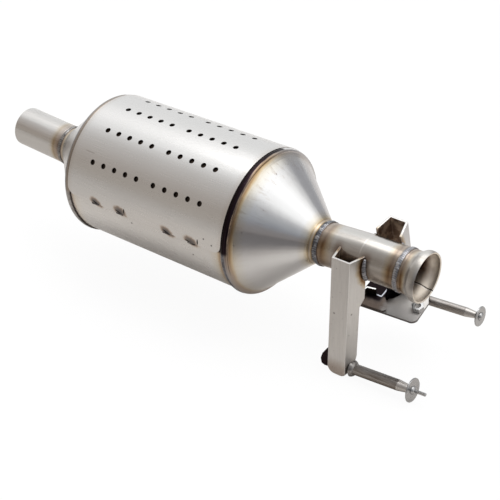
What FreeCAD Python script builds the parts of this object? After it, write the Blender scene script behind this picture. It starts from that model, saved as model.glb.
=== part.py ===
import FreeCAD, Part
import math
import os
import Sketcher

App = FreeCAD
Vec = App.Vector
doc = App.newDocument("particulate_filter")
sheet = doc.addObject("Spreadsheet::Sheet", "Dimensions")

# One shared frame in millimetres: X runs along the can towards the outlet, Z is up,
# and the side that the picture shows faces minus Y. The origin is the middle of the brick.


class Dim:
    """A number that also remembers its formula, so that a shape stays tied to the sheet."""

    def __init__(self, value, text):
        self.value = float(value)
        self.text = text

    def __add__(self, other):
        other = dim(other)
        return Dim(self.value + other.value, "(" + self.text + " + " + other.text + ")")

    def __sub__(self, other):
        other = dim(other)
        return Dim(self.value - other.value, "(" + self.text + " - " + other.text + ")")

    def __mul__(self, other):
        other = dim(other)
        return Dim(self.value * other.value, "(" + self.text + " * " + other.text + ")")

    def __truediv__(self, other):
        other = dim(other)
        return Dim(self.value / other.value, "(" + self.text + " / " + other.text + ")")

    def __neg__(self):
        return Dim(-self.value, "(0 - " + self.text + ")")


def dim(number):
    """Turn a plain number into a Dim and leave a Dim alone."""
    if isinstance(number, Dim):
        return number
    return Dim(number, repr(float(number)))


rows_used = [0]


def sized(alias, value):
    """Add one driving dimension to the sheet and return it as a Dim."""
    rows_used[0] += 1
    row = str(rows_used[0])
    sheet.set("A" + row, alias)
    sheet.set("B" + row, str(value))
    sheet.setAlias("B" + row, alias)
    return Dim(value, "Dimensions." + alias)


can_radius = sized("can_radius", 77.5)
can_wall = sized("can_wall", 1.5)
can_half = sized("can_half_length", 113.0)
inlet_shorter = sized("inlet_shorter", 3.2)
rim_overlap = sized("rim_overlap", 0.8)
rim_slip = sized("rim_slip", 0.2)
cone_wall = sized("cone_wall", 1.5)
mat_thickness = sized("mat_thickness", 4.0)
brick_inset = sized("brick_inset", 12.0)
mat_inset = sized("mat_inset", 5.0)
seam_width = sized("seam_width", 1.6)
seam_depth = sized("seam_depth", 1.2)
segment_size = sized("segment_size", 35.0)
shield_gap = sized("shield_gap", 1.5)
shield_wall = sized("shield_wall", 1.0)
shield_inset = sized("shield_inset", 3.65)
shield_inset_inlet = sized("shield_inset_inlet", 4.0)
shield_start = sized("shield_start_angle", -6.5)
shield_span = sized("shield_span_angle", 189.0)
shield_corner = sized("shield_corner_radius", 9.0)
hole_radius = sized("hole_radius", 3.0)
hole_first = sized("hole_first", 11.8)
hole_pitch = sized("hole_pitch", 15.75)
hole_reach = sized("hole_reach", 5.0)
stitch_1 = sized("stitch_1", -66.0)
stitch_2 = sized("stitch_2", -30.0)
stitch_3 = sized("stitch_3", 36.0)
stitch_4 = sized("stitch_4", 70.0)
stitch_length = sized("stitch_length", 9.0)
stitch_width = sized("stitch_width", 3.4)
stitch_under = sized("stitch_under", 1.2)
stitch_sink = sized("stitch_sink", 0.4)
pipe_radius = sized("pipe_radius", 22.75)
pipe_wall = sized("pipe_wall", 1.5)
inlet_cone_length = sized("inlet_cone_length", 65.2)
inlet_length = sized("inlet_pipe_length", 72.4)
inlet_tilt = sized("inlet_tilt", 3.05)
bevel_length = sized("bevel_length", 2.4)
bevel_depth = sized("bevel_depth", 0.6)
root_gap = sized("root_gap", 2.4)
outlet_cone_length = sized("outlet_cone_length", 69.6)
outlet_tilt = sized("outlet_tilt", 4.1)
tail_tilt = sized("tail_tilt", 1.2)
straight_run = sized("straight_run", 52.4)
tail_run = sized("tail_run", 43.2)
bend_radius = sized("bend_radius", 150.0)
flare_tilt = sized("flare_tilt", -1.2)
flare_length = sized("flare_length", 22.2)
flare_radius = sized("flare_radius", 26.1)
flare_waist = sized("flare_waist", 6.2)
flare_knee = sized("flare_knee", 12.7)
flare_rise = sized("flare_rise", 2.35)
sheet_gauge = sized("sheet_gauge", 2.0)
web_width = sized("web_width", 21.0)
front_web_shift = sized("front_web_shift", 34.8)
front_standoff = sized("front_standoff", 17.75)
front_top = sized("front_top", 15.5)
front_bottom = sized("front_bottom", -119.4)
front_splay_left = sized("front_splay_left", 6.3)
front_splay_right = sized("front_splay_right", 4.4)
front_depth = sized("front_depth", 23.0)
front_waist_top = sized("front_waist_top", 86.0)
front_waist_low = sized("front_waist_low", 20.0)
front_waist_cut = sized("front_waist_cut", 6.4)
front_foot_round = sized("front_foot_round", 8.0)
ear_height = sized("ear_height", 22.0)
ear_reach = sized("ear_reach", 12.6)
ear_depth = sized("ear_depth", 7.5)
rear_web_shift = sized("rear_web_shift", 50.0)
rear_standoff = sized("rear_standoff", 15.25)
rear_web_z = sized("rear_web_z", 33.0)
rear_lean = sized("rear_lean", 15.66)
rear_drop = sized("rear_drop", 101.9)
rear_depth = sized("rear_depth", 22.2)
rear_splay_left = sized("rear_splay_left", 2.6)
rear_splay_right = sized("rear_splay_right", 5.9)
rear_waist_top = sized("rear_waist_top", 62.0)
rear_waist_low = sized("rear_waist_low", 14.0)
rear_step_height = sized("rear_step_height", 38.0)
rear_step_width = sized("rear_step_width", 13.0)
foot_gauge = sized("foot_gauge", 2.5)
foot_left = sized("foot_left", 31.6)
foot_right = sized("foot_right", 41.6)
foot_inner = sized("foot_inner", 41.6)
foot_outer = sized("foot_outer", 13.0)
foot_hole_radius = sized("foot_hole_radius", 4.2)
lip_gauge = sized("lip_gauge", 2.0)
tab_height = sized("tab_height", 8.0)
nut_flats = sized("nut_across_flats", 12.0)
nut_height = sized("nut_height", 6.0)
nut_bore = sized("nut_bore_radius", 3.4)
front_rod_radius = sized("front_rod_radius", 5.8)
front_rod_length = sized("front_rod_length", 67.2)
rear_rod_radius = sized("rear_rod_radius", 5.0)
rear_rod_length = sized("rear_rod_length", 86.0)
rod_tilt = sized("rod_tilt", 4.5)
rod_taper = sized("rod_taper_length", 11.0)
rod_bore_depth = sized("rod_bore_depth", 9.0)
rod_set_off = sized("rod_set_off", 2.0)
front_rod_in = sized("front_rod_in", 10.5)
front_rod_up = sized("front_rod_up", 7.0)
rear_rod_shift = sized("rear_rod_shift", 34.0)
rear_rod_out = sized("rear_rod_out", 4.12)
rear_rod_back = sized("rear_rod_back", 31.0)
washer_gap = sized("washer_gap", 4.0)
front_washer_radius = sized("front_washer_radius", 12.7)
rear_washer_radius = sized("rear_washer_radius", 10.7)
washer_gauge = sized("washer_gauge", 1.3)
rivet_radius = sized("rivet_radius", 2.5)
stem_radius = sized("stem_radius", 1.8)
stem_length = sized("stem_length", 14.5)
head_radius = sized("rivet_head_radius", 4.6)
head_height = sized("rivet_head_height", 2.6)
saddle_bead_radius = sized("saddle_bead_radius", 2.4)
doc.recompute()

# Sizes that follow from the ones above.
can_start = can_half - inlet_shorter
rim_half = can_half - rim_overlap
rim_start = can_start - rim_overlap
rim_radius = can_radius + cone_wall + rim_slip
brick_radius = can_radius - can_wall - mat_thickness
brick_half = can_half - brick_inset
mat_half = brick_half - mat_inset
shield_radius = can_radius + shield_gap + shield_wall
shield_end = can_half - shield_inset
shield_begin = can_start - shield_inset_inlet
inlet_end = can_half + inlet_cone_length
outlet_end = can_half + outlet_cone_length
bend_x = outlet_end + straight_run
flare_x = bend_x + tail_run
front_web_x = outlet_end + front_web_shift
front_web_y = -(pipe_radius + front_standoff)
rear_web_x = outlet_end + rear_web_shift
rear_web_y = pipe_radius + rear_standoff

nodes = []


def keep(thing, name):
    """Label a finished sub-part and put it on the list that is written out."""
    thing.Label = name
    nodes.append((name, thing))
    return thing


def turn_y(degrees):
    """Rotation that lifts local X upwards by this many degrees."""
    return App.Rotation(Vec(0, 1, 0), -degrees)


def outline(sketch, corners, rounds=None):
    """Closed profile through the corners, with an arc on each side that rounds names.

    rounds maps the index of a corner to the signed radius of the arc that leaves it;
    a plus sign bulges to the left of the way from this corner to the next.
    """
    rounds = rounds or {}
    count = len(corners)
    flat = [Vec(dim(c[0]).value, dim(c[1]).value, 0) for c in corners]
    starts = []
    ends = []
    for index in range(count):
        a = flat[index]
        b = flat[(index + 1) % count]
        if index in rounds:
            signed = dim(rounds[index]).value
            radius = abs(signed)
            half = (b - a) * 0.5
            side = Vec(-half.y, half.x, 0)
            side.normalize()
            rise = math.sqrt(max(radius ** 2 - half.Length ** 2, 0.0))
            sign = 1.0 if signed > 0 else -1.0
            centre = a + half - side * (rise * sign)
            first = math.atan2(a.y - centre.y, a.x - centre.x)
            last = math.atan2(b.y - centre.y, b.x - centre.x)
            circle = Part.Circle(centre, Vec(0, 0, 1), radius)
            if sign > 0:
                number = sketch.addGeometry(Part.ArcOfCircle(circle, last, first), False)
                starts.append((number, 2))
                ends.append((number, 1))
            else:
                number = sketch.addGeometry(Part.ArcOfCircle(circle, first, last), False)
                starts.append((number, 1))
                ends.append((number, 2))
            bound = sketch.addConstraint(Sketcher.Constraint("Radius", number, radius))
            text = dim(rounds[index]).text
            if signed < 0:
                text = "(0 - " + text + ")"
            sketch.setExpression("Constraints[" + str(bound) + "]", text)
        else:
            number = sketch.addGeometry(Part.LineSegment(a, b), False)
            starts.append((number, 1))
            ends.append((number, 2))
    for index in range(count):
        after = (index + 1) % count
        sketch.addConstraint(Sketcher.Constraint("Coincident", ends[index][0], ends[index][1],
                                                 starts[after][0], starts[after][1]))
    for index in range(count):
        number, point = starts[index]
        for axis, kind in ((0, "DistanceX"), (1, "DistanceY")):
            place = dim(corners[index][axis])
            bound = sketch.addConstraint(
                Sketcher.Constraint(kind, -1, 1, number, point, place.value))
            sketch.setExpression("Constraints[" + str(bound) + "]", place.text)


def seat(thing, base, rotation=App.Rotation()):
    """Place a thing, with every coordinate that is a Dim tied to the sheet."""
    thing.Placement = App.Placement(Vec(*[dim(spot).value for spot in base]), rotation)
    for axis, spot in zip("xyz", base):
        if isinstance(spot, Dim):
            thing.setExpression(".Placement.Base." + axis, spot.text)


def new_body(name, base=(0, 0, 0), rotation=App.Rotation()):
    body = doc.addObject("PartDesign::Body", name)
    seat(body, base, rotation)
    return body


def new_sketch(body, name, placement=App.Placement()):
    sketch = body.newObject("Sketcher::SketchObject", name)
    sketch.Placement = placement
    return sketch


def spin(body, name, corners, rounds=None):
    """Revolve a closed profile about the local X axis of the body."""
    sketch = new_sketch(body, name + "_profile")
    outline(sketch, corners, rounds)
    turned = body.newObject("PartDesign::Revolution", name + "_turned")
    turned.Profile = sketch
    turned.ReferenceAxis = (sketch, ["H_Axis"])
    turned.Angle = 360
    return turned


def spun(name, corners, rounds=None, base=(0, 0, 0), rotation=App.Rotation()):
    """A body that is one revolved profile."""
    body = new_body(name, base, rotation)
    spin(body, name, corners, rounds)
    return body


def cut(name, base, tools):
    """Base less every tool, so that the faces that meet are the same surface."""
    left = base
    for index, tool in enumerate(tools):
        step = doc.addObject("Part::Cut", name + "_less_" + str(index + 1))
        step.Base = left
        step.Tool = tool
        left = step
    return left


def group(name, things):
    """Several separate solids as one sub-part."""
    joined = doc.addObject("Part::Compound", name + "_set")
    joined.Links = things
    return joined


side_on = App.Rotation(Vec(1, 0, 0), 90)
end_on = App.Rotation(Vec(1, 1, 1), 120)

# Can, mat and ceramic brick.
can = spun("can", [(-can_start, can_radius - can_wall), (can_half, can_radius - can_wall),
                   (can_half, can_radius), (-can_start, can_radius)])
keep(can, "can_shell")
mat = spun("mat", [(-mat_half, brick_radius), (mat_half, brick_radius),
                   (mat_half, can_radius - can_wall), (-mat_half, can_radius - can_wall)])
keep(mat, "support_mat")
brick = spun("brick", [(-brick_half, 0), (brick_half, 0), (brick_half, brick_radius),
                       (-brick_half, brick_radius)])
for facing in (-1, 1):
    for across in (0, 1):
        for line in (-1, 0, 1):
            seam = brick.newObject("PartDesign::SubtractiveBox", "seam")
            far = seam_width * 0.5
            reach = brick_radius + 2
            start = brick_half - seam_depth if facing > 0 else -brick_half - 1
            place = segment_size * line - far
            seam.setExpression("Length", (seam_depth + 1).text)
            seam.setExpression(".Placement.Base.x", start.text)
            if across:
                seam.setExpression("Width", seam_width.text)
                seam.setExpression("Height", (reach * 2).text)
                seam.setExpression(".Placement.Base.y", place.text)
                seam.setExpression(".Placement.Base.z", (-reach).text)
            else:
                seam.setExpression("Height", seam_width.text)
                seam.setExpression("Width", (reach * 2).text)
                seam.setExpression(".Placement.Base.z", place.text)
                seam.setExpression(".Placement.Base.y", (-reach).text)
keep(brick, "filter_brick")


def cone(name, rim, end, rotation):
    """Pressed end cone: a rim that slips over the can, a shoulder, a cone and a neck."""
    w = cone_wall
    corners = [(rim, rim_radius), (rim + 1.2, rim_radius),
               (rim + 3.8, rim_radius - 2.6), (rim + 7.3, rim_radius - 6.7),
               (end - 7.3, pipe_radius + 1.8), (end - 2.2, pipe_radius), (end, pipe_radius),
               (end, pipe_radius - w), (end - 2.2, pipe_radius - w),
               (end - 7.9, pipe_radius + 1.85 - w * 1.25),
               (rim + 6.5, rim_radius - 6.4 - w), (rim + 2.7, rim_radius - 2.3 - w),
               (rim + 1.0, rim_radius - w), (rim, rim_radius - w)]
    rounds = {1: dim(3.0), 4: dim(-8.1), 8: dim(9.6), 11: dim(-2.2)}
    return spun(name, corners, rounds, (0, 0, 0), rotation)


inlet_cone = cone("inlet_cone_body", rim_start, inlet_end, App.Rotation(Vec(0, 0, 1), 180))
keep(inlet_cone, "inlet_cone")
outlet_cone = cone("outlet_cone_body", rim_half, outlet_end, App.Rotation())
keep(outlet_cone, "outlet_cone")


def rim_weld(name, rim, rotation):
    """Fillet bead in the corner between the rim of a cone and the can."""
    return spun(name, [(rim - cone_wall * 1.7333, can_radius), (rim, can_radius),
                       (rim, can_radius + cone_wall)], {2: -cone_wall * 2.6667}, (0, 0, 0), rotation)


keep(rim_weld("inlet_rim_bead", rim_start, App.Rotation(Vec(0, 0, 1), 180)), "inlet_rim_weld")
keep(rim_weld("outlet_rim_bead", rim_half, App.Rotation()), "outlet_rim_weld")

# Inlet pipe, tilted up a little, with its end bevelled for the weld.
inlet_start = inlet_end + root_gap
inlet_turn = App.Rotation(Vec(0, 1, 0), 180 + inlet_tilt.value)
inlet_pipe = spun("inlet_pipe_body",
                  [(0, pipe_radius - pipe_wall), (inlet_length, pipe_radius - pipe_wall),
                   (inlet_length, pipe_radius), (bevel_length, pipe_radius),
                   (0, pipe_radius - bevel_depth)],
                  None, (-inlet_start, 0, 0), inlet_turn)
keep(inlet_pipe, "inlet_pipe")


def ring_bead(name, base, rotation, half_width, crown):
    """Round weld bead that fills the joint between two pipe ends."""
    root = pipe_radius - 0.9
    return spun(name, [(-half_width, root), (half_width, root),
                       (half_width, pipe_radius - 0.4), (-half_width, pipe_radius - 0.4)],
                {2: -dim(crown)}, base, rotation)


inlet_bead = ring_bead("inlet_bead", (-(inlet_end + root_gap * 0.5), 0, 0),
                       App.Rotation(Vec(0, 1, 0), 180 + inlet_tilt.value / 2), 3.2, 3.7)
keep(cut("inlet_bead", inlet_bead, [inlet_pipe, inlet_cone]), "inlet_pipe_weld")

# Outlet pipe: two straight runs with a slight bend between them.
slope = math.tan(math.radians(outlet_tilt.value))
tail_slope = math.tan(math.radians(tail_tilt.value))
start_x = outlet_end + 2.6
start_z = (start_x - outlet_end) * slope
bend_z = (bend_x - outlet_end) * slope
flare_z = bend_z + (flare_x - bend_x) * tail_slope
rise = math.radians(outlet_tilt.value)
tail_rise = math.radians(tail_tilt.value)
reach = bend_radius * math.tan((rise - tail_rise) / 2)
path_points = [(start_x, start_z),
               (bend_x - reach * math.cos(rise), bend_z - reach * math.sin(rise)),
               (bend_x + reach * math.cos(tail_rise), bend_z + reach * math.sin(tail_rise)),
               (flare_x - 0.8, flare_z - tail_slope * 0.8)]
path_flat = [Vec(across.value, up.value, 0) for across, up in path_points]
bend_centre = path_flat[1] + Vec(math.sin(rise), -math.cos(rise), 0) * bend_radius.value
bend_circle = Part.Circle(bend_centre, Vec(0, 0, 1), bend_radius.value)
path = doc.addObject("Sketcher::SketchObject", "outlet_path")
path.Placement = App.Placement(Vec(0, 0, 0), side_on)
path.addGeometry(Part.LineSegment(path_flat[0], path_flat[1]), False)
path.addGeometry(Part.ArcOfCircle(bend_circle, math.pi / 2 + tail_rise, math.pi / 2 + rise), False)
path.addGeometry(Part.LineSegment(path_flat[2], path_flat[3]), False)
path.addConstraint(Sketcher.Constraint("Coincident", 0, 2, 1, 2))
path.addConstraint(Sketcher.Constraint("Coincident", 1, 1, 2, 1))
bound = path.addConstraint(Sketcher.Constraint("Radius", 1, bend_radius.value))
path.setExpression("Constraints[" + str(bound) + "]", bend_radius.text)
for (line, point), spots in zip(((0, 1), (0, 2), (2, 1), (2, 2)), path_points):
    for kind, spot in zip(("DistanceX", "DistanceY"), spots):
        bound = path.addConstraint(Sketcher.Constraint(kind, -1, 1, line, point, spot.value))
        path.setExpression("Constraints[" + str(bound) + "]", spot.text)


def swept(name, radius):
    """Round bar of this radius along the outlet path."""
    hoop = doc.addObject("Part::Circle", name + "_hoop")
    hoop.setExpression("Radius", radius.text)
    seat(hoop, (start_x, 0, start_z), turn_y(outlet_tilt.value) * App.Rotation(Vec(0, 1, 0), 90))
    bar = doc.addObject("Part::Sweep", name)
    bar.Sections = [hoop]
    bar.Spine = (path, ["Edge1", "Edge2", "Edge3"])
    bar.Solid = True
    bar.Frenet = False
    return bar


outlet_bar = swept("outlet_bar", pipe_radius)
outlet_bore = swept("outlet_bore", pipe_radius - pipe_wall)
outlet_pipe = cut("outlet_pipe_body", outlet_bar, [outlet_bore])
keep(outlet_pipe, "outlet_pipe")
neck_bead = ring_bead("neck_bead", (outlet_end + 1.3, 0, 1.3 * slope),
                      turn_y(outlet_tilt.value / 2), 3.6, 4.2)
keep(cut("neck_bead", neck_bead, [outlet_pipe, outlet_cone]), "outlet_cone_weld")

# Bell mouth on the outlet end and its weld.
flare_place = (flare_x + 0.8, 0, flare_z + tail_slope * 0.8)
w = pipe_wall
knee_radius = pipe_radius + flare_rise
flare = spun("flare_body",
             [(0, pipe_radius - w), (flare_waist, pipe_radius - w),
              (flare_knee + w * 0.64, knee_radius - w * 0.768),
              (flare_length - w * 0.4, flare_radius - w * 0.92), (flare_length, flare_radius),
              (flare_knee, knee_radius), (flare_waist, pipe_radius), (0, pipe_radius)],
             {1: dim(-11.65), 2: dim(8.2), 4: dim(-9.7), 5: dim(10.15)}, flare_place,
             turn_y(flare_tilt.value))
keep(flare, "outlet_flare")
flare_bead = ring_bead("flare_bead", (flare_x, 0, flare_z), turn_y(flare_tilt.value), 3.4, 4.0)
keep(cut("flare_bead", flare_bead, [outlet_pipe, flare]), "outlet_flare_weld")

# Perforated heat shield, held off the can.
shield = new_body("shield_body")
skin = shield.newObject("PartDesign::AdditiveCylinder", "shield_skin")
skin.setExpression("Radius", shield_radius.text)
skin.setExpression("Height", (shield_begin + shield_end).text)
skin.setExpression("Angle", shield_span.text)
seat(skin, (-shield_begin, 0, 0), App.Rotation(Vec(1, 0, 0), shield_start.value) * end_on)
hollow = shield.newObject("PartDesign::SubtractiveCylinder", "shield_hollow")
hollow.setExpression("Radius", (shield_radius - shield_wall).text)
hollow.setExpression("Height", (shield_begin + shield_end + shield_wall * 4).text)
seat(hollow, (-shield_begin - shield_wall * 2, 0, 0), end_on)
row_angles = (151.0, 123.4, 98.1, 75.6, 51.2, 25.0)
last = hollow
for number, angle in enumerate(row_angles):
    facing = App.Rotation(Vec(1, 0, 0), angle - 90)
    above = shield_radius + hole_reach
    row = new_sketch(shield, "hole_row_" + str(number + 1))
    seat(row, (0, above * math.cos(math.radians(angle)), above * math.sin(math.radians(angle))), facing)
    for side in (-1, 1):
        for step in range(5):
            at = (hole_first + hole_pitch * step) * side
            ring = row.addGeometry(Part.Circle(Vec(at.value, 0, 0), Vec(0, 0, 1), hole_radius.value), False)
            bound = row.addConstraint(Sketcher.Constraint("Radius", ring, hole_radius.value))
            row.setExpression("Constraints[" + str(bound) + "]", hole_radius.text)
            bound = row.addConstraint(Sketcher.Constraint("DistanceX", -1, 1, ring, 3, at.value))
            row.setExpression("Constraints[" + str(bound) + "]", at.text)
            row.addConstraint(Sketcher.Constraint("PointOnObject", ring, 3, -1))
    holes = shield.newObject("PartDesign::Pocket", "holes_" + str(number + 1))
    holes.Profile = row
    holes.setExpression("Length", (hole_reach * 2.8).text)
    last = holes
doc.recompute()
corner_edges = []
for index, edge in enumerate(last.Shape.Edges):
    if abs(edge.Length - shield_wall.value) < 0.01:
        corner_edges.append("Edge" + str(index + 1))
rounding = shield.newObject("PartDesign::Fillet", "shield_corners")
rounding.Base = (last, corner_edges)
rounding.setExpression("Radius", shield_corner.text)
keep(shield, "heat_shield")

# Short welds under the two long edges of the shield.
stitches = []
front_edge = shield_start.value + shield_span.value
under = can_radius - stitch_sink
for angle, over in ((front_edge, stitch_width - stitch_under), (shield_start.value, stitch_under)):
    facing = App.Rotation(Vec(1, 0, 0), angle - 90)
    out_y = math.cos(math.radians(angle))
    out_z = math.sin(math.radians(angle))
    for place_x in (stitch_1, stitch_2, stitch_3, stitch_4):
        stitch = doc.addObject("Part::Box", "stitch")
        stitch.setExpression("Length", stitch_length.text)
        stitch.setExpression("Width", stitch_width.text)
        stitch.setExpression("Height", (shield_radius - can_radius).text)
        seat(stitch, (place_x - stitch_length * 0.5, under * out_y - over * out_z,
                      under * out_z + over * out_y), facing)
        stitches.append(cut("stitch", stitch, [can, shield]))
keep(group("stitches", stitches), "shield_stitch_welds")


def channel(name, base, rotation, left, right, depth, height):
    """Folded sheet channel: web along X, two splayed flanges along plus Y, run along plus Z."""
    body = new_body(name, base, rotation)
    sketch = new_sketch(body, name + "_section")
    g = sheet_gauge
    outline(sketch, [(0, 0), (web_width, 0), (web_width + right, depth), (web_width + right - g, depth),
                     (web_width - g * 0.9, g), (g * 0.9, g), (-left + g, depth), (-left, depth)])
    run = body.newObject("PartDesign::Pad", name + "_run")
    run.Profile = sketch
    run.setExpression("Length", height.text)
    return body


def trim(body, name, placement, corners, rounds=None, length=Dim(120.0, "120.0")):
    """Cut a shape out of the body, both ways from the sketch."""
    sketch = new_sketch(body, name + "_line", placement)
    outline(sketch, corners, rounds)
    pocket = body.newObject("PartDesign::Pocket", name)
    pocket.Profile = sketch
    pocket.setExpression("Length", length.text)
    pocket.Midplane = True
    return pocket


# Front bracket: the channel hangs from the near side of the outlet pipe.
front = channel("front_channel", (front_web_x, front_web_y, front_bottom), App.Rotation(),
                front_splay_left, front_splay_right, front_depth, front_top - front_bottom)
trim(front, "front_waist", App.Placement(Vec(10, 0, 0), end_on),
     [(front_depth + 1, front_waist_top), (front_depth, front_waist_top),
      (front_depth - front_waist_cut, front_waist_top * 0.907),
      (front_depth * 0.7043, front_waist_low), (front_depth * 0.6087, front_waist_low * 0.6),
      (front_depth * 0.3913, front_waist_low * 0.15), (front_depth * 0.3043, -1),
      (front_depth + 1, -1)])
f = front_foot_round
trim(front, "front_foot_left", App.Placement(Vec(0, 10, 0), side_on),
     [(-f * 1.125, -1), (f, -1), (f, 0), (-0.2, f), (-f * 1.125, f)], {2: f * 1.0375})
trim(front, "front_foot_right", App.Placement(Vec(0, 10, 0), side_on),
     [(web_width + f * 1.125, -1), (web_width + f * 1.125, f * 1.125), (web_width + f * 0.325, f * 1.125),
      (web_width - f * 0.75, 0), (web_width - f * 0.75, -1)], {2: f * 1.1})
ear_sketch = new_sketch(front, "front_ear_outline")
seat(ear_sketch, (0, ear_depth, 0), side_on)
outline(ear_sketch, [(-ear_reach * 0.111, ear_height * 0.0455), (-ear_reach * 0.111, ear_height),
                     (-ear_reach * 0.4286, ear_height), (-ear_reach * 0.8413, ear_height * 0.6364),
                     (-ear_reach, ear_height * 0.3182), (-ear_reach * 0.8889, ear_height * 0.0727),
                     (-ear_reach * 0.5952, ear_height * 0.0091)])
ear = front.newObject("PartDesign::Pad", "front_ear")
ear.Profile = ear_sketch
ear.setExpression("Length", sheet_gauge.text)
front_bracket = cut("front_bracket_body", front, [outlet_bar])
keep(front_bracket, "front_bracket")

# Rear bracket: the same fold on the far side, leaning out, on a flat foot.
lean = App.Rotation(Vec(1, 0, 0), rear_lean.value)
rear_turn = lean * App.Rotation(Vec(0, 0, 1), 180)
lean_sine = math.sin(math.radians(rear_lean.value))
lean_cosine = math.cos(math.radians(rear_lean.value))
low_y = rear_web_y + rear_drop * lean_sine
low_z = rear_web_z - rear_drop * lean_cosine
rear = channel("rear_channel", (rear_web_x + web_width, low_y, low_z), rear_turn, rear_splay_right,
               rear_splay_left, rear_depth, rear_drop)
trim(rear, "rear_waist", App.Placement(Vec(10, 0, 0), end_on),
     [(rear_depth + 1, rear_waist_top), (rear_depth, rear_waist_top),
      (rear_depth * 0.7748, rear_waist_top * 0.8871), (rear_depth * 0.7748, rear_waist_low),
      (rear_depth, rear_waist_low * 0.4286), (rear_depth + 1, rear_waist_low * 0.4286)])
trim(rear, "rear_step", App.Placement(Vec(-2, 0, 0), end_on),
     [(rear_depth + 1, rear_step_height), (rear_depth * 0.8649, rear_step_height),
      (sheet_gauge * 1.8, rear_step_height * 0.2105), (sheet_gauge * 1.8, -1), (rear_depth + 1, -1)],
     None, rear_step_width)
rear_bracket = cut("rear_bracket_body", rear, [outlet_bar])
keep(rear_bracket, "rear_bracket")

# Foot plate: X along the can, local Y outwards, seen from above in the picture.
foot = new_body("foot_body", (0, low_y, low_z), lean)
foot_sketch = new_sketch(foot, "foot_outline")
foot_start = rear_web_x - foot_left
foot_stop = rear_web_x + foot_right
outline(foot_sketch, [(foot_start, -foot_inner), (foot_stop - foot_right * 0.185, -foot_inner * 0.894),
                      (foot_stop, -foot_inner * 0.757), (foot_stop - foot_right * 0.046, -foot_inner * 0.144),
                      (foot_stop - foot_right * 0.269, foot_outer * 0.77),
                      (foot_start + foot_left * 0.285, foot_outer), (foot_start, foot_outer * 0.308)],
        {1: -foot_right * 0.1683})
pad = foot.newObject("PartDesign::Pad", "foot_pad")
pad.Profile = foot_sketch
pad.setExpression("Length", foot_gauge.text)
pad.Reversed = True
lip_sketch = new_sketch(foot, "foot_lip_outline")
outline(lip_sketch, [(foot_start + foot_left * 0.032, -foot_inner * 0.9976),
                     (rear_web_x + foot_right * 0.094, -foot_inner * 0.942),
                     (rear_web_x + foot_right * 0.166, -foot_inner * 0.875),
                     (rear_web_x + foot_right * 0.142, -foot_inner * 0.817),
                     (foot_start + foot_left * 0.032, -foot_inner * 0.829)])
lip = foot.newObject("PartDesign::Pad", "foot_lip")
lip.Profile = lip_sketch
lip.setExpression("Length", lip_gauge.text)
tab_sketch = new_sketch(foot, "foot_tab_outline")
outline(tab_sketch, [(foot_start + foot_left * 0.19, -foot_inner * 0.668),
                     (foot_start + foot_left * 0.237, -foot_inner * 0.546),
                     (foot_start + foot_left * 0.53, -foot_inner * 0.51),
                     (foot_start + foot_left * 0.522, -foot_inner * 0.467),
                     (foot_start + foot_left * 0.19, -foot_inner * 0.508),
                     (foot_start + foot_left * 0.13, -foot_inner * 0.66)])
tab = foot.newObject("PartDesign::Pad", "foot_tab")
tab.Profile = tab_sketch
tab.setExpression("Length", tab_height.text)
nut_x = rear_web_x + foot_right * 0.8365
nut_y = -foot_inner * 0.4423


def drill(body, name, radius, depth):
    """Round hole through the body at the nut's place."""
    sketch = new_sketch(body, name + "_outline")
    ring = Part.Circle(Vec(nut_x.value, nut_y.value, 0), Vec(0, 0, 1), radius.value)
    hole = sketch.addGeometry(ring, False)
    for kind, target, size in (("Radius", (hole,), radius), ("DistanceX", (-1, 1, hole, 3), nut_x),
                               ("DistanceY", (-1, 1, hole, 3), nut_y)):
        bound = sketch.addConstraint(Sketcher.Constraint(kind, *target, size.value))
        sketch.setExpression("Constraints[" + str(bound) + "]", size.text)
    drilled = body.newObject("PartDesign::Pocket", name)
    drilled.Profile = sketch
    drilled.setExpression("Length", depth.text)
    drilled.Midplane = True


drill(foot, "foot_hole", foot_hole_radius, foot_gauge * 4)
keep(foot, "rear_foot_plate")

# Weld nut on the foot plate.
nut_body = new_body("nut_body", (0, low_y, low_z), lean)
nut_sketch = new_sketch(nut_body, "nut_outline")
nut_points = []
for corner in range(6):
    angle = math.radians(60 * corner + 10)
    share = 0.5 / math.cos(math.radians(30))
    nut_points.append((nut_x + nut_flats * (share * math.cos(angle)),
                       nut_y + nut_flats * (share * math.sin(angle))))
outline(nut_sketch, nut_points)
nut_pad = nut_body.newObject("PartDesign::Pad", "nut_pad")
nut_pad.Profile = nut_sketch
nut_pad.setExpression("Length", nut_height.text)
drill(nut_body, "nut_hole", nut_bore, nut_height * 4)
keep(nut_body, "rear_foot_nut")


def saddle_bead(name, place_x, first, last, tube):
    """Weld bead that runs round part of the outlet pipe."""
    bead = doc.addObject("Part::Torus", name)
    bead.setExpression("Radius1", pipe_radius.text)
    bead.setExpression("Radius2", tube.text)
    bead.Angle3 = last - first
    height = (place_x - outlet_end) * slope
    if place_x.value > bend_x.value:
        height = bend_z + (place_x - bend_x) * tail_slope
    seat(bead, (place_x, 0, height), App.Rotation(Vec(1, 0, 0), first) * end_on)
    return bead


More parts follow.
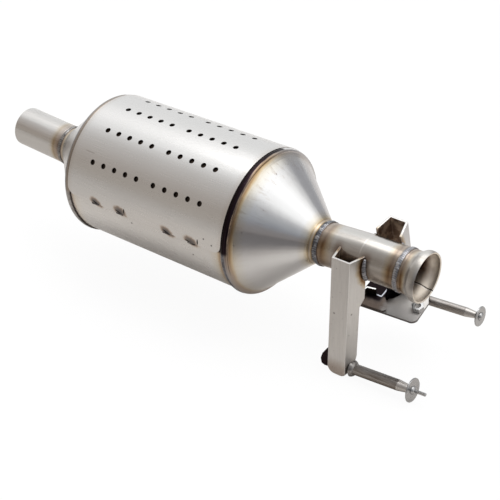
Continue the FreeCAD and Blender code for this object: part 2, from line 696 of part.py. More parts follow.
front_beads = [cut("front_bead_a",
                   saddle_bead("front_arc_a", front_web_x - front_splay_left - 0.5, 158, 216,
                               saddle_bead_radius), [outlet_bar, front_bracket]),
               cut("front_bead_b",
                   saddle_bead("front_arc_b", front_web_x + web_width + front_splay_right + 0.8, 155, 222,
                               saddle_bead_radius + 0.4), [outlet_bar, front_bracket])]
keep(group("front_beads", front_beads), "front_bracket_welds")
rear_beads = [cut("rear_bead_a",
                  saddle_bead("rear_arc_a", rear_web_x - rear_splay_left - 1.1, -14, 44,
                              saddle_bead_radius), [outlet_bar, rear_bracket]),
              cut("rear_bead_b",
                  saddle_bead("rear_arc_b", rear_web_x + web_width + rear_splay_right + 1.7, -14, 44,
                              saddle_bead_radius), [outlet_bar, rear_bracket])]
keep(group("rear_beads", rear_beads), "rear_bracket_welds")


def hanger(prefix, base, radius, length, washer_radius, stem, blockers, weld_at, weld_size):
    """Hanger rod with a necked end, a washer and the blind rivet that holds it."""
    aim = turn_y(rod_tilt.value)
    hole = rivet_radius
    bore_end = length - rod_bore_depth
    rod_line = [(0, 0), (bore_end, 0), (bore_end, hole), (length, hole),
                (length, radius - 1.5), (length - rod_taper, radius), (0, radius)]
    rod = spun(prefix + "_rod_body", rod_line, None, base, aim)
    rod = cut(prefix + "_rod_seat", rod, blockers)
    keep(rod, prefix + "_hanger_rod")
    inner = length + washer_gap
    face = inner + washer_gauge
    washer = spun(prefix + "_washer_body",
                  [(inner, hole), (face, hole), (face, washer_radius - 0.4),
                   (face - 0.4, washer_radius), (inner, washer_radius)], None, base, aim)
    keep(washer, prefix + "_washer")
    foot_end = bore_end + 0.2
    head = face + head_height
    rivet_line = [(foot_end, 0), (head, 0), (head, 2.4), (face, head_radius), (face, hole),
                  (foot_end, hole)]
    rounds = {2: -(head_radius - 1.0)}
    if stem:
        tip = face + stem_length
        rivet_line = [(foot_end, 0), (tip, 0), (tip, stem_radius - 0.3), (tip - 0.5, stem_radius),
                      (head, stem_radius), (head, 2.4), (face, head_radius), (face, hole),
                      (foot_end, hole)]
        rounds = {5: -(head_radius - 1.0)}
    keep(spun(prefix + "_rivet_body", rivet_line, rounds, base, aim), prefix + "_rivet")
    bead = spun(prefix + "_rod_bead", [(weld_at, radius), (weld_at + weld_size, radius),
                                       (weld_at, radius + weld_size * 0.7)], {1: dim(-weld_size * 1.6)},
                base, aim)
    keep(cut(prefix + "_rod_bead", bead, blockers), prefix + "_rod_weld")


front_base = (front_web_x + web_width + rod_set_off, front_web_y + front_rod_in,
              front_bottom + front_rod_up)
hanger("front", front_base, front_rod_radius, front_rod_length, front_washer_radius,
       True, [front_bracket], 0.4, 4.4)

# The rear rod lies under the foot plate and is welded along it.
lift = math.radians(rod_tilt.value)
sink = foot_gauge + rear_rod_radius + 0.4
rear_base = (rear_web_x + rear_rod_shift - rear_rod_back * math.cos(lift),
             low_y + rear_rod_out * lean_cosine + sink * lean_sine,
             low_z + rear_rod_out * lean_sine - sink * lean_cosine - rear_rod_back * math.sin(lift))
hanger("rear", rear_base, rear_rod_radius, rear_rod_length, rear_washer_radius,
       False, [foot], 0.4, 4.0)

doc.recompute()
problems = []
for thing in doc.Objects:
    if "Invalid" in thing.State or "Error" in thing.State:
        problems.append(thing.Name + " " + str(thing.State))
os.makedirs("parts", exist_ok=True)
for name, thing in nodes:
    shape = thing.Shape
    if shape.isNull() or not shape.isValid() or not shape.Solids:
        problems.append(name + " has no valid solid")
        continue
    print(name, "solids", len(shape.Solids), "volume", round(shape.Volume, 1),
          "box", [round(v, 1) for v in (shape.BoundBox.XMin, shape.BoundBox.XMax, shape.BoundBox.YMin,
                                        shape.BoundBox.YMax, shape.BoundBox.ZMin, shape.BoundBox.ZMax)])
    shape.exportStep("parts/" + name + ".step")
if problems:
    raise RuntimeError("; ".join(problems))
print("wrote", len(nodes), "sub-parts")
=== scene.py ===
import math
import random
import bmesh
import bpy
from mathutils import Matrix, Vector


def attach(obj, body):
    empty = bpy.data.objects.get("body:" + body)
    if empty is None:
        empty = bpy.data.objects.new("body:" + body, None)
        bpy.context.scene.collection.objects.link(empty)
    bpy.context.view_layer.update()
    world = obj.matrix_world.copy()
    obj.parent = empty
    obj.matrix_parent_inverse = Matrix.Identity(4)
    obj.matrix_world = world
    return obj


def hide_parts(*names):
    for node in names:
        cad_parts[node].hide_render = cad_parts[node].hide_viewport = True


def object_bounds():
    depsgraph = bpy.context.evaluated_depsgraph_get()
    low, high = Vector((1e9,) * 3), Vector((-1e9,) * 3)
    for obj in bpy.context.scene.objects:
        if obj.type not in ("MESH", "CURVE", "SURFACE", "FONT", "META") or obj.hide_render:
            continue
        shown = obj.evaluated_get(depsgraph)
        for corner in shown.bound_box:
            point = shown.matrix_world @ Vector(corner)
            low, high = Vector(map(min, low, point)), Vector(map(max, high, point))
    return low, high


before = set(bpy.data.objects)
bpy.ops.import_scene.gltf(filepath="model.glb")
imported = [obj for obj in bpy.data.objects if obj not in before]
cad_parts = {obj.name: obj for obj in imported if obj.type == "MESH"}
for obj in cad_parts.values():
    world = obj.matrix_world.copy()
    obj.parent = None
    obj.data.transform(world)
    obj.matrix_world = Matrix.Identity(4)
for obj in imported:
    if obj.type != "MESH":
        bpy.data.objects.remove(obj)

cad_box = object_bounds()
MM = 0.001
scene = bpy.context.scene
scene.view_settings.view_transform = "Standard"

# Camera: the photograph's place, found from the can, the cones and the hole rows.
VIEW_AZIMUTH = 38.40
VIEW_ELEVATION = 30.666
VIEW_DISTANCE = 1.3604
VIEW_AIM = Vector((0.07224, 0.01513, -0.05566))
FOCAL_PIXELS = 1248.03
FRAME_PIXELS = 500
SENSOR = 36.0


def make_camera():
    azimuth = math.radians(VIEW_AZIMUTH)
    elevation = math.radians(VIEW_ELEVATION)
    back = Vector((math.sin(azimuth) * math.cos(elevation), -math.cos(azimuth) * math.cos(elevation),
                   math.sin(elevation)))
    data = bpy.data.cameras.new("camera")
    data.sensor_width = SENSOR
    data.lens = FOCAL_PIXELS / FRAME_PIXELS * SENSOR
    data.clip_start = 0.05
    data.clip_end = 50.0
    camera = bpy.data.objects.new("camera", data)
    camera.location = VIEW_AIM + back * VIEW_DISTANCE
    camera.rotation_euler = (-back).to_track_quat("-Z", "Y").to_euler()
    scene.collection.objects.link(camera)
    scene.camera = camera


class Graph:
    """Short calls that put nodes in a tree; each gives back the socket that matters."""

    def __init__(self, tree):
        self.tree = tree
        tree.nodes.clear()

    def node(self, kind, values=(), **settings):
        made = self.tree.nodes.new(kind)
        for name, value in settings.items():
            setattr(made, name, value)
        for key, value in dict(values).items():
            self.feed(made.inputs[key], value)
        return made

    def feed(self, socket, value):
        """Links a socket, or sets a plain value."""
        if isinstance(value, bpy.types.NodeSocket):
            self.tree.links.new(value, socket)
        elif hasattr(value, "__len__") and len(value) == 3 and socket.type == "RGBA":
            socket.default_value = (*value, 1.0)
        else:
            socket.default_value = value

    def math(self, operation, a, b=0.0, clamp=False):
        made = self.node("ShaderNodeMath", {0: a, 1: b}, operation=operation, use_clamp=clamp)
        return made.outputs[0]

    def plus(self, a, b):
        return self.math("ADD", a, b)

    def minus(self, a, b):
        return self.math("SUBTRACT", a, b)

    def times(self, a, b):
        return self.math("MULTIPLY", a, b)

    def over(self, a, b, clamp=False):
        return self.math("DIVIDE", a, b, clamp)

    def most(self, a, b, clamp=False):
        return self.math("MAXIMUM", a, b, clamp)

    def least(self, a, b):
        return self.math("MINIMUM", a, b)

    def absolute(self, value):
        return self.math("ABSOLUTE", value)

    def apart(self, a, b):
        """How far two values are from each other."""
        return self.absolute(self.minus(a, b))

    def largest(self, values):
        """The largest of a list of values."""
        top = values[0]
        for value in values[1:]:
            top = self.most(top, value)
        return top

    def vector(self, operation, a, b=(0.0, 0.0, 0.0)):
        made = self.node("ShaderNodeVectorMath", {0: a, 1: b}, operation=operation)
        return made.outputs["Value" if operation in ("LENGTH", "DISTANCE", "DOT_PRODUCT") else "Vector"]

    def place(self):
        """Place on the object in millimetres."""
        coords = self.node("ShaderNodeTexCoord")
        return self.vector("MULTIPLY", coords.outputs["Object"], (1000.0, 1000.0, 1000.0))

    def facing(self):
        """Direction that the face looks in, along the object's own axes."""
        return self.node("ShaderNodeTexCoord").outputs["Normal"]

    def parts(self, vector):
        made = self.node("ShaderNodeSeparateXYZ", {0: vector})
        return made.outputs[0], made.outputs[1], made.outputs[2]

    def noise(self, vector, scale, detail=3.0, rough=0.5):
        made = self.node("ShaderNodeTexNoise", {"Vector": vector, "Scale": scale, "Detail": detail,
                                                "Roughness": rough})
        return made.outputs["Fac"]

    def span(self, value, low, high, first=0.0, last=1.0):
        """Smooth step: first at low, last at high."""
        made = self.node("ShaderNodeMapRange", {"Value": value, "From Min": low, "From Max": high,
                                                "To Min": first, "To Max": last},
                         interpolation_type="SMOOTHSTEP")
        return made.outputs["Result"]

    def ramp(self, value, stops):
        """Colour by value, with straight blends between the stops."""
        made = self.node("ShaderNodeValToRGB", {"Fac": value})
        band = made.color_ramp
        band.interpolation = "LINEAR"
        while len(band.elements) < len(stops):
            band.elements.new(1.0)
        for element, (position, colour) in zip(band.elements, stops):
            element.position = position
            element.color = (*colour, 1.0)
        return made.outputs["Color"]

    def mix(self, factor, a, b, blend="MIX"):
        made = self.node("ShaderNodeMix", data_type="RGBA", blend_type=blend, clamp_result=False)
        self.feed(made.inputs["Factor"], factor)
        self.feed(made.inputs[6], a)
        self.feed(made.inputs[7], b)
        return made.outputs[2]

    def grey(self, value):
        return self.node("ShaderNodeCombineColor", {0: value, 1: value, 2: value}).outputs[0]

    def bump(self, height, strength, distance, normal=None):
        values = {"Height": height, "Strength": strength, "Distance": distance}
        if normal is not None:
            values["Normal"] = normal
        return self.node("ShaderNodeBump", values).outputs["Normal"]


# Studio: brightness of the room by the angle from straight up (minus is towards the front).
SKY_LEFT = ((-110, (0.50, 0.46, 0.42)), (-79, (0.50, 0.455, 0.41)), (-66, (0.46, 0.41, 0.37)),
            (-43, (0.62, 0.585, 0.56)), (-24, (0.70, 0.68, 0.67)), (-8, (1.10, 1.11, 1.12)),
            (18, (1.36, 1.36, 1.37)), (42, (1.09, 1.10, 1.11)), (110, (0.95, 0.96, 0.97)))
SKY_RIGHT = ((-110, (0.26, 0.225, 0.20)), (-86, (0.31, 0.28, 0.27)), (-68, (0.35, 0.365, 0.40)),
             (-50, (0.50, 0.515, 0.54)), (-30, (0.74, 0.74, 0.75)), (-13, (1.38, 1.38, 1.38)),
             (28, (1.75, 1.75, 1.75)), (47, (1.35, 1.34, 1.33)), (66, (0.47, 0.47, 0.49)),
             (110, (0.46, 0.46, 0.48)))
SKY_REACH = 110.0


def make_world():
    world = bpy.data.worlds.new("studio")
    world.use_nodes = True
    scene.world = world
    g = Graph(world.node_tree)
    x, y, z = g.parts(g.node("ShaderNodeTexCoord").outputs["Generated"])
    turn = g.math("DEGREES", g.math("ARCTAN2", y, z))
    place = g.over(g.plus(turn, SKY_REACH), SKY_REACH * 2)

    def sky(stops):
        return g.ramp(place, [((angle + SKY_REACH) / (SKY_REACH * 2), colour) for angle, colour in stops])

    right = g.span(x, -0.45, 0.10)
    light = g.mix(right, sky(SKY_LEFT), sky(SKY_RIGHT))
    back = g.node("ShaderNodeBackground", {"Color": light, "Strength": 1.0})
    g.node("ShaderNodeOutputWorld", {"Surface": back.outputs[0]})


def area_lamp(name, place, aim, width, height, watts):
    data = bpy.data.lights.new(name, "AREA")
    data.shape = "RECTANGLE"
    data.size = width
    data.size_y = height
    data.energy = watts
    lamp = bpy.data.objects.new(name, data)
    lamp.location = place
    lamp.rotation_euler = (Vector(aim) - Vector(place)).to_track_quat("-Z", "Y").to_euler()
    scene.collection.objects.link(lamp)


# The camera sees a white floor. All other rays meet a diffuse one with painted shades by place, pale under
# the part
# and darker in front: painted reflections, which is what the metal mirrors. These are metres, unlike the
# materials' millimetres.
FLOOR_SIZE = 24.0
FLOOR_DROP = 0.6 * MM
CAMERA_GLOW = 0.93
PAPER = (0.95, 0.95, 0.95)
SHADE_UNDER = (0.74, 0.705, 0.67)
SHADE_FRONT = (0.565, 0.53, 0.495)
SHADE_FRONT_RIGHT = (0.175, 0.165, 0.165)
SHADE_INLET = (0.52, 0.495, 0.47)
SHADE_BACK_LEFT = (0.84, 0.83, 0.82)
SHADE_BACK = (0.64, 0.62, 0.61)


def make_floor():
    low = cad_box[0][2] - FLOOR_DROP
    half = FLOOR_SIZE / 2
    mesh = bpy.data.meshes.new("floor")
    mesh.from_pydata([(-half, -half, low), (half, -half, low), (half, half, low), (-half, half, low)],
                     [], [(0, 1, 2, 3)])
    floor = bpy.data.objects.new("floor", mesh)
    scene.collection.objects.link(floor)
    material = bpy.data.materials.new("floor_white")
    material.use_nodes = True
    g = Graph(material.node_tree)
    x, y = g.parts(g.node("ShaderNodeTexCoord").outputs["Object"])[:2]
    front = g.span(y, -0.08, -0.23)
    right = g.times(g.span(x, 0.05, 0.22), g.span(y, -0.08, -0.34))
    inlet = g.times(g.span(x, -0.20, -0.32), g.span(y, 0.2, 0.0))
    behind = g.span(y, 0.15, 0.45)
    shade = g.mix(front, SHADE_UNDER, SHADE_FRONT)
    shade = g.mix(right, shade, SHADE_FRONT_RIGHT)
    shade = g.mix(inlet, shade, SHADE_INLET)
    back_shade = g.mix(g.span(x, -0.30, -0.10), SHADE_BACK_LEFT, SHADE_BACK)
    shade = g.mix(behind, shade, back_shade)
    lit = g.node("ShaderNodeBsdfDiffuse", {"Color": shade})
    paper = g.node("ShaderNodeBsdfDiffuse", {"Color": PAPER})
    glow = g.node("ShaderNodeEmission", {"Color": (1.0, 1.0, 1.0), "Strength": 1.0})
    white = g.node("ShaderNodeMixShader", {0: CAMERA_GLOW, 1: paper.outputs[0], 2: glow.outputs[0]})
    seen = g.node("ShaderNodeLightPath").outputs["Is Camera Ray"]
    both = g.node("ShaderNodeMixShader", {0: seen, 1: lit.outputs[0], 2: white.outputs[0]})
    g.node("ShaderNodeOutputMaterial", {"Surface": both.outputs[0]})
    mesh.materials.append(material)


# Heat tint beside a weld, by distance in millimetres from the bead's edge: round the rims, the neck, the
# inlet pipe, the inlet cone's small end, and the outlet pipe with its bell mouth and brackets.
TINT_REACH = 16.0
TINT = ((0.0, (0.34, 0.30, 0.29)), (2.0, (0.45, 0.34, 0.25)), (3.4, (0.49, 0.32, 0.17)),
        (4.4, (0.73, 0.56, 0.34)), (6.0, (0.91, 0.84, 0.71)), (9.0, (0.97, 0.94, 0.87)),
        (14.0, (1.0, 1.0, 1.0)))
TINT_NECK = ((0.0, (0.28, 0.22, 0.18)), (1.2, (0.48, 0.36, 0.22)), (2.2, (0.70, 0.59, 0.43)),
             (3.2, (0.58, 0.49, 0.40)), (4.2, (0.50, 0.38, 0.23)), (5.4, (0.78, 0.67, 0.49)),
             (8.0, (0.93, 0.88, 0.79)), (13.0, (1.0, 1.0, 1.0)))
TINT_INLET = ((0.0, (0.42, 0.34, 0.30)), (2.0, (0.58, 0.48, 0.40)), (4.5, (0.66, 0.55, 0.44)),
              (7.5, (0.60, 0.47, 0.31)), (9.5, (0.82, 0.73, 0.59)), (12.0, (0.96, 0.93, 0.88)),
              (16.0, (1.0, 1.0, 1.0)))
TINT_SOFT = ((0.0, (0.42, 0.34, 0.30)), (1.6, (0.62, 0.50, 0.38)), (4.0, (0.88, 0.78, 0.62)),
             (8.0, (0.97, 0.94, 0.88)), (16.0, (1.0, 1.0, 1.0)))
TINT_DEEP = ((0.0, (0.40, 0.30, 0.22)), (2.4, (0.52, 0.38, 0.26)), (4.4, (0.30, 0.17, 0.08)),
             (6.2, (0.54, 0.37, 0.21)), (9.0, (0.86, 0.76, 0.60)), (13.5, (1.0, 1.0, 1.0)))


def tint(g, distance, stops):
    """Colour to multiply the steel by at this distance."""
    place = g.over(distance, TINT_REACH, clamp=True)
    return g.ramp(place, [(at / TINT_REACH, colour) for at, colour in stops])


def wander(g, place, size, amount):
    """Slow noise about zero, to make a tint's edge uneven."""
    slow = g.noise(place, 1.0 / size, 2.0)
    return g.times(g.minus(slow, 0.5), amount * 2)


def beside(g, x, at, half_width, wobble):
    """Distance from the edge of a weld bead that lies round the axis at this x."""
    return g.plus(g.minus(g.apart(x, at), half_width), wobble)


def new_metal(name):
    """A new material, and the graph to fill it with."""
    material = bpy.data.materials.new(name)
    material.use_nodes = True
    return material, Graph(material.node_tree)


def finish_metal(g, colour, roughness, normal, metallic=1.0):
    shader = g.node("ShaderNodeBsdfPrincipled", {"Base Color": colour, "Roughness": roughness,
                                                 "Metallic": metallic, "Normal": normal})
    g.node("ShaderNodeOutputMaterial", {"Surface": shader.outputs[0]})


def grain(g, place, along, across, lengthwise="x"):
    """Fine brushed lines, stretched along one axis."""
    stretch = {"x": (along, across, across), "z": (across, across, along)}[lengthwise]
    return g.noise(g.vector("MULTIPLY", place, stretch), 1.0, 4.0, 0.6)


def steel_colour(g, place, colour, patch):
    """Base colour with slow lighter and darker patches and fine mottle."""
    slow = g.noise(place, 0.02, 2.0)
    fine = g.noise(place, 0.35, 5.0, 0.65)
    shade = g.plus(g.times(g.minus(slow, 0.5), patch * 2), g.times(g.minus(fine, 0.5), patch))
    return g.mix(1.0, colour, g.grey(g.plus(shade, 1.0)), "MULTIPLY")


def bevel(g, radius, samples=4):
    """Normal that rounds sharp edges by this radius in millimetres."""
    return g.node("ShaderNodeBevel", {"Radius": radius * MM}, samples=samples).outputs[0]


# Places along the can's axis, heights and radii in millimetres, and tilts in degrees.
OUTLET_RIM_BEAD_X = 111.2
INLET_RIM_BEAD_X = -108.0
RIM_BEAD_HALF = 2.7
RIM_BEAD_RADIUS = 77.9
INLET_BEAD_X = -179.4
NECK_BEAD_X = 183.9
NECK_BEAD_HEIGHT = 0.1
FLARE_BEAD_X = 278.2
OUTLET_CONE_END = 182.6
BEND_X = 235.0
SHIELD_BEGIN = -105.8
SHIELD_END = 109.35
PIPE_RADIUS = 22.75
INLET_TILT = 3.05
OUTLET_TILT = 4.1
TAIL_TILT = 1.2
FLARE_TILT = -1.2
FRONT_BRACKET_X = (210.6, 243.6)
REAR_BRACKET_X = (228.9, 261.2)
BRACKET_SPECKS = ((222.7, -40.5, -47.1), (239.6, -34.6, -45.3))

# Burn marks of the stitch welds and dark slits: place along X, height, half length, half width and slope.
# The specks and the scratch have only a place along X and a height.
BURNS = ((-64.1, -2.4, 9.0, 5.8, -0.25), (-28.5, -1.4, 9.8, 6.2, -0.15), (37.8, -2.9, 9.2, 6.0, -0.25),
         (70.4, -2.6, 10.0, 6.2, -0.15))
SLITS = ((-22.6, 1.0, 0.8, 2.6, 0.0), (79.4, 0.4, 0.8, 2.8, 0.0), (-63.0, -3.0, 5.4, 0.9, -0.35),
         (-30.0, -2.4, 4.4, 0.8, -0.25), (38.8, -3.6, 5.8, 1.0, -0.35), (68.0, -3.4, 4.6, 0.8, -0.25))
SPECKS = ((-15.0, -12.0), (87.4, 6.8), (91.2, -4.6), (68.9, -20.6), (98.0, 3.0))
SCRATCH_X = -82.5
SCRATCH_HEIGHT = 45.3
BACK_EDGE_LOWER = 6.2
BURN_COLOURS = ((0.0, (0.52, 0.43, 0.35)), (0.22, (0.34, 0.27, 0.22)), (0.45, (0.23, 0.20, 0.18)),
                (0.80, (0.12, 0.105, 0.10)))


def near_point(g, x, z, at, height, half_length, half_width, slope=0.0):
    """Distance from a point, 0 in the middle and 1 on the ellipse round it."""
    along = g.minus(x, at)
    dx = g.over(along, half_length)
    dz = g.over(g.minus(g.minus(z, height), g.times(along, slope)), half_width)
    return g.math("SQRT", g.plus(g.times(dx, dx), g.times(dz, dz)))


def edge_height(g, y, z):
    """Height as if the shield's back edge were level with the front one."""
    return g.plus(z, g.times(g.math("GREATER_THAN", y, 0.0), BACK_EDGE_LOWER))


def burn_marks(g, place, colour):
    """Colour with the burn marks, the slits and the specks along the shield's long edges.

    Gives back the colour and how much of it is burnt.
    """
    x, y, z = g.parts(place)
    z = edge_height(g, y, z)
    ragged = g.times(g.minus(g.noise(place, 0.30, 3.0, 0.6), 0.5), 0.5)
    depth = g.largest([g.minus(1.0, near_point(g, x, z, *burn)) for burn in BURNS])
    depth = g.plus(depth, ragged)
    burnt = g.span(depth, -0.22, 0.32, 0.0, 0.94)
    colour = g.mix(burnt, colour, g.ramp(depth, BURN_COLOURS))
    black = [g.span(near_point(g, x, z, *slit), 0.8, 1.4, 1.0, 0.0) for slit in SLITS]
    black += [g.span(near_point(g, x, z, at, height, 1.0, 1.0), 0.6, 1.2, 0.85, 0.0)
              for at, height in SPECKS]
    return g.mix(g.largest(black), colour, (0.02, 0.018, 0.018)), burnt


def shield_material():
    material, g = new_metal("shield_satin")
    place = g.place()
    colour = steel_colour(g, place, (0.63, 0.622, 0.61), 0.03)
    x, y, z = g.parts(place)
    ends = g.least(g.minus(SHIELD_END, x), g.minus(x, SHIELD_BEGIN))
    warm = g.plus(ends, wander(g, place, 25.0, 3.0))
    colour = g.mix(g.span(warm, 0.0, 7.0, 0.2, 0.0), colour, (0.42, 0.34, 0.27))
    colour, burnt = burn_marks(g, place, colour)
    # A short scratch beside the lowest row of holes.
    line = g.plus(z, g.times(x, 0.02))
    scratch = g.span(g.apart(line, SCRATCH_HEIGHT), 0.2, 0.7, 1.0, 0.0)
    scratch = g.times(scratch, g.span(g.apart(x, SCRATCH_X), 5.0, 7.5, 1.0, 0.0))
    scratch = g.times(scratch, g.math("LESS_THAN", y, 0.0))
    colour = g.mix(g.times(scratch, 0.35), colour, (0.25, 0.22, 0.20))
    rough = g.plus(g.times(grain(g, place, 0.03, 1.3), 0.10), 0.235)
    rough = g.plus(rough, g.times(burnt, 0.25))
    normal = g.bump(grain(g, place, 0.05, 2.2), 0.10, 0.05 * MM)
    finish_metal(g, colour, rough, normal)
    return material


def rim_distance(g, x, wobble):
    """Distance in millimetres from the nearer of the two rim beads."""
    return g.least(beside(g, x, OUTLET_RIM_BEAD_X, RIM_BEAD_HALF, wobble),
                   beside(g, x, INLET_RIM_BEAD_X, RIM_BEAD_HALF, wobble))


def can_material():
    material, g = new_metal("can_satin")
    place = g.place()
    x, y, z = g.parts(place)
    colour = steel_colour(g, place, (0.61, 0.60, 0.585), 0.04)
    wobble = wander(g, place, 12.0, 1.2)
    near = g.plus(g.times(rim_distance(g, x, wobble), 0.75), 1.6)
    colour = g.mix(g.span(x, -50.0, 50.0, 0.5, 0.8), colour, tint(g, near, TINT), "MULTIPLY")
    colour, burnt = burn_marks(g, place, colour)
    # Dark brown under the shield: partly dark scale from the heat the shield keeps in, partly painted shade
    # in the gap under it.
    dark = g.span(edge_height(g, y, z), -5.0, -1.5)
    colour = g.mix(dark, colour, (0.050, 0.036, 0.028))
    rough = g.plus(g.times(grain(g, place, 0.04, 1.2), 0.06), 0.25)
    rough = g.plus(rough, g.times(g.most(burnt, dark), 0.3))
    normal = g.bump(grain(g, place, 0.05, 2.0), 0.07, 0.05 * MM)
    finish_metal(g, colour, rough, normal)
    return material


def covered_by_shield(g, place):
    """1 at the rim welds where the shield's end lies over them, on the near side: where painted shade goes.
    """
    y, z = g.parts(place)[1:]
    return g.times(g.span(edge_height(g, y, z), -6.0, -1.0), g.span(y, 23.0, 17.0))


def cone_material(name, rough_level, rim_tint):
    """Pressed cone; rim_tint is how strongly the rim weld has tinted it."""
    material, g = new_metal(name)
    place = g.place()
    x, y, z = g.parts(place)
    colour = steel_colour(g, place, (0.62, 0.62, 0.62), 0.05)
    wobble = wander(g, place, 14.0, 0.8)
    rim = rim_distance(g, x, wobble)
    # Smoke drawn out from the rim weld in short wisps.
    round_axis = g.math("ARCTAN2", y, z)
    unrolled = {0: g.times(x, 0.09), 1: g.times(round_axis, 14.0), 2: 0.0}
    wisp_place = g.node("ShaderNodeCombineXYZ", unrolled).outputs[0]
    wisps = g.span(g.noise(wisp_place, 1.0, 4.0, 0.7), 0.50, 0.72)
    reach = g.times(g.span(rim, 3.0, 7.0), g.span(rim, 34.0, 8.0))
    reach = g.times(reach, g.span(z, -10.0, 30.0, 0.35, 1.0))
    colour = g.mix(g.times(g.times(wisps, reach), 0.38), colour, (0.34, 0.27, 0.21))
    from_rim = g.plus(rim, g.span(z, 60.0, 77.0, 0.0, 1.6))
    amount = g.times(g.span(z, -40.0, 0.0, 0.72, 1.0), rim_tint)
    amount = g.times(amount, g.span(y, -20.0, 35.0, 1.0, 0.30))
    colour = g.mix(amount, colour, tint(g, from_rim, TINT), "MULTIPLY")
    # Painted shade: near black beside the rim weld where the shield's end overhangs it.
    black = g.times(g.span(from_rim, 2.4, 1.0), covered_by_shield(g, place))
    colour = g.mix(g.times(black, rim_tint), colour, (0.02, 0.012, 0.016))
    inlet = g.times(beside(g, x, INLET_BEAD_X, 2.4, wobble), 1.4)
    neck = beside(g, x, NECK_BEAD_X, 3.3, wander(g, place, 14.0, 0.5))
    colour = g.mix(1.0, colour, tint(g, inlet, TINT_SOFT), "MULTIPLY")
    colour = g.mix(1.0, colour, tint(g, neck, TINT_NECK), "MULTIPLY")
    pits = g.span(g.noise(place, 0.22, 1.0), 0.75, 0.80)
    colour = g.mix(g.times(pits, 0.5), colour, (0.16, 0.13, 0.11))
    rough = g.plus(g.times(g.noise(place, 0.08, 3.0), 0.12), rough_level)
    rough = g.plus(rough, g.span(neck, 8.0, 3.0, 0.0, 0.14))
    normal = g.bump(g.noise(place, 0.05, 2.0), 0.35, 0.6 * MM)
    # Press marks that run from the rim to the neck.
    marks = g.noise(g.vector("MULTIPLY", wisp_place, (0.06, 0.40, 0.0)), 1.0, 1.0)
    normal = g.bump(marks, 0.14, 0.8 * MM, normal)
    normal = g.bump(g.noise(place, 1.4, 3.0), 0.06, 0.05 * MM, normal)
    finish_metal(g, colour, rough, normal)
    return material


def inward(g, place, level):
    """1 on faces that look towards the pipe's axis, which lies at this level."""
    spoke = g.vector("MULTIPLY", g.vector("SUBTRACT", place, (0.0, 0.0, level)), (0.0, 1.0, 1.0))
    return g.span(g.vector("DOT_PRODUCT", g.facing(), spoke), -2.0, 0.0, 1.0, 0.0)


# The outlet pipe's own seam shows inside the bell mouth at this angle, with a painted highlight line beside
# it.
SEAM_ANGLE = -57.0
SEAM_LIGHT_ANGLE = -60.5
MOUTH_HEIGHT = 4.4
PIPE_HEIGHT = 4.0


def pipe_material(name, steel, deep):
    """Brushed pipe; deep is the outlet's darker tint, with the brackets' brown halo and the seam."""
    material, g = new_metal(name)
    place = g.place()
    x, y, z = g.parts(place)
    colour = steel_colour(g, place, steel, 0.07)
    streak = grain(g, place, 0.03, 0.8)
    colour = g.mix(g.span(streak, 0.45, 0.75, 0.0, 0.3), colour, [c * 0.66 for c in steel])
    if deep:
        # Painted highlight: paler along the top.
        top = g.times(g.span(y, -8.5, -3.5), g.span(y, 11.0, 3.5))
        top = g.times(top, g.span(z, 15.0, 21.0))
        colour = g.mix(g.times(top, 0.85), colour, (0.60, 0.585, 0.56))
    wobble = wander(g, place, 11.0, 1.8)
    inlet = beside(g, x, INLET_BEAD_X, 2.2, wobble)
    neck = g.times(beside(g, x, NECK_BEAD_X, 3.0, wobble), 0.85)
    flare = beside(g, x, FLARE_BEAD_X, 2.8, wobble)
    flare = g.times(flare, g.span(x, FLARE_BEAD_X - 1.0, FLARE_BEAD_X + 1.0, 1.0, 1.35))
    near = g.least(g.least(inlet, neck), flare)
    amount = g.span(z, 20.0, 10.0, 0.65, 1.0)
    colour = g.mix(amount, colour, tint(g, near, TINT_DEEP if deep else TINT_INLET), "MULTIPLY")
    if deep:
        # Brown halo where the brackets are welded on.
        spots = []
        for flanges, reach in ((FRONT_BRACKET_X, -14.0), (REAR_BRACKET_X, 14.0)):
            side = g.span(y, 0.0, reach)
            for at in flanges:
                off = g.plus(g.apart(x, at), wobble)
                spots.append(g.times(g.span(off, 1.0, 8.0, 1.0, 0.0), side))
        halo = g.times(g.largest(spots), g.span(z, 22.0, 14.0))
        colour = g.mix(g.times(halo, 0.65), colour, (0.12, 0.070, 0.045))
        under = g.times(g.span(z, 16.0, -8.0), 0.60)
        under = g.times(under, g.span(x, 282.0, 276.0))
        colour = g.mix(under, colour, (0.20, 0.15, 0.11))
    # Inside faces: brown, with painted shade that darkens deeper into the hollow, and painted light that
    # keeps the lower inner wall paler.
    inside = inward(g, place, PIPE_HEIGHT if deep else 0.0)
    hollow = g.plus(x, wander(g, place, 10.0, 5.0))
    hollow = g.span(hollow, 297.0, 283.0) if deep else g.span(hollow, -225.0, -215.0)
    hollow = g.times(hollow, g.span(z, -12.0, 0.0, 0.25, 1.0))
    colour = g.mix(inside, colour, g.mix(hollow, (0.72, 0.66, 0.58), (0.17, 0.095, 0.06)))
    if deep:
        turn = g.math("DEGREES", g.math("ARCTAN2", g.minus(z, MOUTH_HEIGHT), y))
        seam = g.times(g.span(g.apart(turn, SEAM_ANGLE), 0.7, 2.0, 1.0, 0.0), inside)
        # Painted highlight beside the seam.
        light = g.times(g.span(g.apart(turn, SEAM_LIGHT_ANGLE), 0.4, 1.6, 0.7, 0.0), inside)
        colour = g.mix(light, colour, (0.80, 0.77, 0.72))
        colour = g.mix(seam, colour, (0.02, 0.015, 0.012))
        # Painted highlight along the faint ridge where the two lengths of tube meet at the bend.
        ridge = g.span(g.apart(x, BEND_X), 0.3, 1.0, 0.20, 0.0)
        ridge = g.times(ridge, g.span(z, 12.0, 20.0))
        colour = g.mix(ridge, colour, (0.75, 0.73, 0.70))
    rough = g.plus(g.times(streak, 0.12), 0.18)
    rough = g.plus(rough, g.times(inside, 0.22))
    rough = g.plus(rough, g.span(x, 281.0, 286.0, 0.0, 0.12))
    normal = g.bump(grain(g, place, 0.06, 1.8), 0.10, 0.06 * MM)
    finish_metal(g, colour, rough, normal)
    return material


# A height below the whole part.
NOWHERE = -300.0


